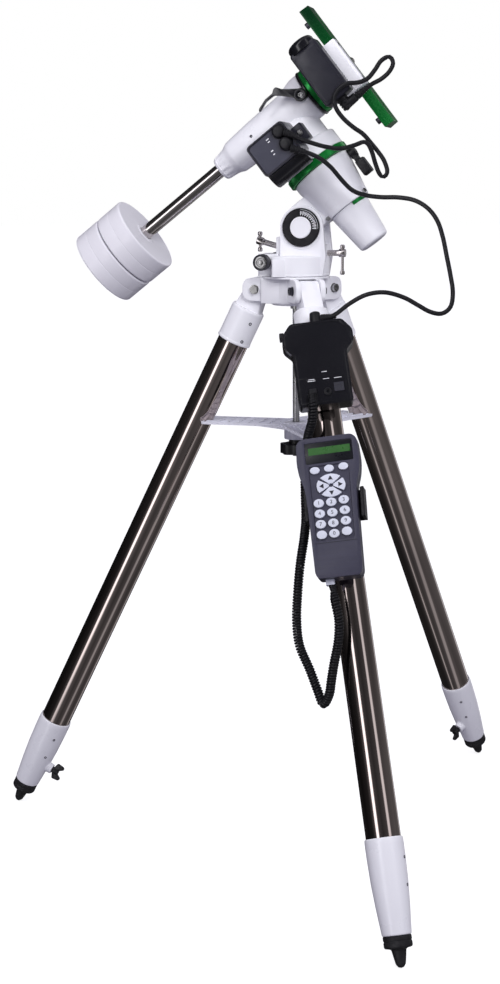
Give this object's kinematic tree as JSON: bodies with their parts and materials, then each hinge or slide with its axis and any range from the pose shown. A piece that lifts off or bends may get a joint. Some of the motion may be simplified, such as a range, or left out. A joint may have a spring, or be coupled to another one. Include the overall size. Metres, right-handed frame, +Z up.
{
  "type": "equatorial telescope mount",
  "caption": "Motorised German equatorial mount with counterweights on a folding steel tripod, with a dovetail saddle, a leg-mounted control box, a keypad handset and coiled cord.",
  "frame": {"origin": "middle of the footprint on the ground, in the plane of symmetry of the tripod", "axes": "+Z up, the polar axis rises towards -X, the control box and handset are on the -Y side leg"},
  "size_m": [0.6927, 0.7936, 1.1815],
  "materials": {
    "white_paint": "gloss white paint",
    "white_weight": "white painted casting",
    "steel_tube": "polished stainless",
    "chrome": "polished",
    "zinc_bolt": "plated",
    "green_anodised": "green anodised",
    "black_plastic": "satin black",
    "grey_plastic": "satin dark grey",
    "handset_plastic": "satin slate",
    "key_rubber": "matte light grey",
    "tray_plastic": "translucent white",
    "cable_rubber": "satin black",
    "brass": "machined",
    "knob_grey": "satin"
  },
  "bodies": {
    "tripod": {"tripod_head": "white_paint", "centre_rod": "zinc_bolt", "leg_hinge_bolt_front": "zinc_bolt", "leg_hinge_bolt_north": "zinc_bolt", "leg_hinge_bolt_back": "zinc_bolt"},
    "tray": {"spreader_tray": "tray_plastic"},
    "tray_knob": {"spreader_knob": "black_plastic"},
    "leg_front": {"leg_collar_front": "white_paint", "leg_tube_front": "steel_tube", "leg_socket_front": "white_paint", "control_box": "black_plastic", "handset_holder": "black_plastic", "curly_cable": "cable_rubber"},
    "leg_north": {"leg_collar_north": "white_paint", "leg_tube_north": "steel_tube", "leg_socket_north": "white_paint"},
    "leg_back": {"leg_collar_back": "white_paint", "leg_tube_back": "steel_tube", "leg_socket_back": "white_paint"},
    "foot_front": {"leg_extension_front": "black_plastic"},
    "foot_north": {"leg_extension_north": "black_plastic"},
    "foot_back": {"leg_extension_back": "black_plastic"},
    "clamp_front": {"leg_clamp_screw_front": "black_plastic"},
    "clamp_north": {"leg_clamp_screw_north": "black_plastic"},
    "clamp_back": {"leg_clamp_screw_back": "black_plastic"},
    "azimuth": {"azimuth_base": "white_paint", "latitude_axle": "black_plastic"},
    "knob_near": {"azimuth_knob_near": "knob_grey"},
    "knob_far": {"azimuth_knob_far": "knob_grey"},
    "bolt_north": {"latitude_bolt_north": "chrome"},
    "bolt_south": {"latitude_bolt_south": "chrome"},
    "polar": {"polar_housing": "white_paint", "ra_worm_wheel": "brass", "main_cable": "cable_rubber"},
    "cap": {"polar_cap": "white_paint"},
    "ra_circle": {"ra_setting_circle": "green_anodised"},
    "ra_lever": {"ra_clutch_lever": "black_plastic"},
    "ra": {"dec_housing": "white_paint", "ra_shaft": "zinc_bolt", "ra_motor_box": "grey_plastic", "ra_motor": "zinc_bolt", "counterweight_shaft": "chrome", "dec_worm_wheel": "brass", "dec_cable": "cable_rubber"},
    "worm_ra": {"ra_worm": "zinc_bolt"},
    "weight_inner": {"counterweight_inner": "white_weight"},
    "weight_outer": {"counterweight_outer": "white_weight"},
    "lock_inner": {"counterweight_screw_inner": "black_plastic"},
    "lock_outer": {"counterweight_screw_outer": "black_plastic"},
    "dec_lever": {"dec_clutch_lever": "black_plastic"},
    "dec_circle": {"dec_setting_circle": "green_anodised"},
    "dec": {"saddle": "white_paint", "dec_shaft": "zinc_bolt", "dec_motor_box": "grey_plastic", "dec_motor": "zinc_bolt"},
    "worm_dec": {"dec_worm": "zinc_bolt"},
    "bar": {"dovetail_bar": "green_anodised"},
    "bar_screw": {"saddle_screw": "chrome"},
    "handset": {"handset": "handset_plastic"},
    "keys": {"keypad": "key_rubber"}
  },
  "joints": [
    {"name": "azimuth_turn", "type": "hinge", "parent": "tripod", "child": "azimuth", "pos_m": [0.1092, 0, 0.83], "axis": [0, 0, 1], "range_deg": [-6, 6]},
    {"name": "azimuth_knob_near_slide", "type": "slide", "parent": "azimuth", "child": "knob_near", "axis": [0, 1, 0], "range_m": [-0.0045, 0.0045]},
    {"name": "azimuth_knob_far_slide", "type": "slide", "parent": "azimuth", "child": "knob_far", "axis": [0, 1, 0], "range_m": [-0.0045, 0.0045]},
    {"name": "latitude_tilt", "type": "hinge", "parent": "azimuth", "child": "polar", "pos_m": [0.1227, 0, 0.8875], "axis": [0, 1, 0], "range_deg": [-15, 10]},
    {"name": "latitude_bolt_north_slide", "type": "slide", "parent": "azimuth", "child": "bolt_north", "axis": [-0.9613, 0, 0.2756], "range_m": [-0.0105, 0.0075]},
    {"name": "latitude_bolt_south_slide", "type": "slide", "parent": "azimuth", "child": "bolt_south", "axis": [-1, 0, 0], "range_m": [-0.01, 0.007]},
    {"name": "polar_cap_pull", "type": "slide", "parent": "polar", "child": "cap", "axis": [0.6129, 0, -0.7902], "range_m": [0, 0.06]},
    {"name": "ra_circle_turn", "type": "hinge", "parent": "polar", "child": "ra_circle", "pos_m": [0.14093, 0, 0.97013], "axis": [-0.6129, 0, 0.7902], "continuous": true},
    {"name": "ra_clutch_turn", "type": "hinge", "parent": "polar", "child": "ra_lever", "pos_m": [0.18987, 0, 0.98861], "axis": [0.7902, 0, 0.6129], "range_deg": [-30, 30]},
    {"name": "ra_turn", "type": "hinge", "parent": "polar", "child": "ra", "pos_m": [0.12707, 0, 0.98799], "axis": [-0.6129, 0, 0.7902], "range_deg": [-90, 90], "deforming": ["main_cable"]},
    {"name": "ra_worm_turn", "type": "hinge", "parent": "ra", "child": "worm_ra", "pos_m": [0.13106, -0.0319, 0.98286], "axis": [0.7902, 0, 0.6129], "range_deg": [-13500, 13500]},
    {"name": "counterweight_inner_slide", "type": "slide", "parent": "ra", "child": "weight_inner", "axis": [0.7902, 0, 0.6129], "range_m": [0, 0.12]},
    {"name": "counterweight_outer_slide", "type": "slide", "parent": "ra", "child": "weight_outer", "axis": [0.7902, 0, 0.6129], "range_m": [0, 0.12]},
    {"name": "counterweight_screw_inner_turn", "type": "hinge", "parent": "weight_inner", "child": "lock_inner", "pos_m": [-0.12759, 0.06, 0.86639], "axis": [0, 1, 0], "range_deg": [0, 180]},
    {"name": "counterweight_screw_outer_turn", "type": "hinge", "parent": "weight_outer", "child": "lock_outer", "pos_m": [-0.16077, 0.06, 0.84065], "axis": [0, 1, 0], "range_deg": [0, 180]},
    {"name": "dec_clutch_turn", "type": "hinge", "parent": "ra", "child": "dec_lever", "pos_m": [0.12571, -0.04, 1.0635], "axis": [0, -1, 0], "range_deg": [-30, 30]},
    {"name": "dec_circle_turn", "type": "hinge", "parent": "ra", "child": "dec_circle", "pos_m": [0.13487, 0, 1.06997], "axis": [0.7902, 0, 0.6129], "continuous": true},
    {"name": "dec_turn", "type": "hinge", "parent": "ra", "child": "dec", "pos_m": [0.13771, 0, 1.07217], "axis": [0.7902, 0, 0.6129], "range_deg": [-90, 90], "deforming": ["dec_cable"]},
    {"name": "dec_worm_turn", "type": "hinge", "parent": "dec", "child": "worm_dec", "pos_m": [0.14537, -0.0236, 1.07812], "axis": [-0.6129, 0, 0.7902], "range_deg": [-13500, 13500]},
    {"name": "dovetail_slide", "type": "slide", "parent": "dec", "child": "bar", "axis": [-0.6129, 0, 0.7902], "range_m": [-0.038, 0.038]},
    {"name": "saddle_screw_turn", "type": "hinge", "parent": "dec", "child": "bar_screw", "pos_m": [0.17517, 0.04, 1.11199], "axis": [0, 1, 0], "range_deg": [0, 180]},
    {"name": "leg_fold_front", "type": "hinge", "parent": "tripod", "child": "leg_front", "pos_m": [0.1367, -0.04763, 0.80201], "axis": [0.866, 0.5, 0], "range_deg": [0, 20]},
    {"name": "leg_fold_north", "type": "hinge", "parent": "tripod", "child": "leg_north", "pos_m": [0.0542, 0, 0.80201], "axis": [0, -1, 0], "range_deg": [0, 20]},
    {"name": "leg_fold_back", "type": "hinge", "parent": "tripod", "child": "leg_back", "pos_m": [0.1367, 0.04763, 0.80201], "axis": [-0.866, 0.5, 0], "range_deg": [0, 20]},
    {"name": "tray_drop", "type": "slide", "parent": "tripod", "child": "tray", "axis": [0, 0, -1], "range_m": [0, 0.86]},
    {"name": "tray_knob_turn", "type": "hinge", "parent": "tray", "child": "tray_knob", "pos_m": [0.1092, 0, 0.58], "axis": [0, 0, 1], "range_deg": [0, 180]},
    {"name": "leg_extend_front", "type": "slide", "parent": "leg_front", "child": "foot_front", "axis": [0.2211, -0.383, -0.8969], "range_m": [0, 0.4]},
    {"name": "clamp_screw_front_turn", "type": "hinge", "parent": "leg_front", "child": "clamp_front", "pos_m": [0.30168, -0.33338, 0.05378], "axis": [-0.4484, 0.7767, -0.4423], "range_deg": [0, 180]},
    {"name": "leg_extend_north", "type": "slide", "parent": "leg_north", "child": "foot_north", "axis": [-0.4423, 0, -0.8969], "range_m": [0, 0.4]},
    {"name": "clamp_screw_north_turn", "type": "hinge", "parent": "leg_north", "child": "clamp_north", "pos_m": [-0.27576, 0, 0.05378], "axis": [0.8969, 0, -0.4423], "range_deg": [0, 180]},
    {"name": "leg_extend_back", "type": "slide", "parent": "leg_back", "child": "foot_back", "axis": [0.2211, 0.383, -0.8969], "range_m": [0, 0.4]},
    {"name": "clamp_screw_back_turn", "type": "hinge", "parent": "leg_back", "child": "clamp_back", "pos_m": [0.30168, 0.33338, 0.05378], "axis": [-0.4484, -0.7767, -0.4423], "range_deg": [0, 180]},
    {"name": "handset_lift", "type": "slide", "parent": "leg_front", "child": "handset", "axis": [0.0574, -0.9129, 0.4041], "range_m": [0, 0.1], "deforming": ["curly_cable"]},
    {"name": "keypad_press", "type": "slide", "parent": "handset", "child": "keys", "axis": [-0.0574, 0.9129, -0.4041], "range_m": [0, 0.0012], "stiffness_N_per_m": 900}
  ],
  "couplings": [
    {"joint": "azimuth_knob_near_slide", "follows": "azimuth_turn", "m_per_rad": 0.038},
    {"joint": "azimuth_knob_far_slide", "follows": "azimuth_turn", "m_per_rad": 0.038},
    {"joint": "latitude_bolt_north_slide", "follows": "latitude_tilt", "m_per_rad": 0.0369},
    {"joint": "latitude_bolt_south_slide", "follows": "latitude_tilt", "m_per_rad": 0.0355},
    {"joint": "ra_worm_turn", "follows": "ra_turn", "ratio": 144},
    {"joint": "counterweight_outer_slide", "follows": "counterweight_inner_slide", "ratio": 1},
    {"joint": "dec_worm_turn", "follows": "dec_turn", "ratio": 144},
    {"joint": "leg_fold_north", "follows": "leg_fold_front", "ratio": 1},
    {"joint": "leg_fold_back", "follows": "leg_fold_front", "ratio": 1},
    {"joint": "tray_drop", "follows": "leg_fold_front", "m_per_rad": 2.435}
  ]
}
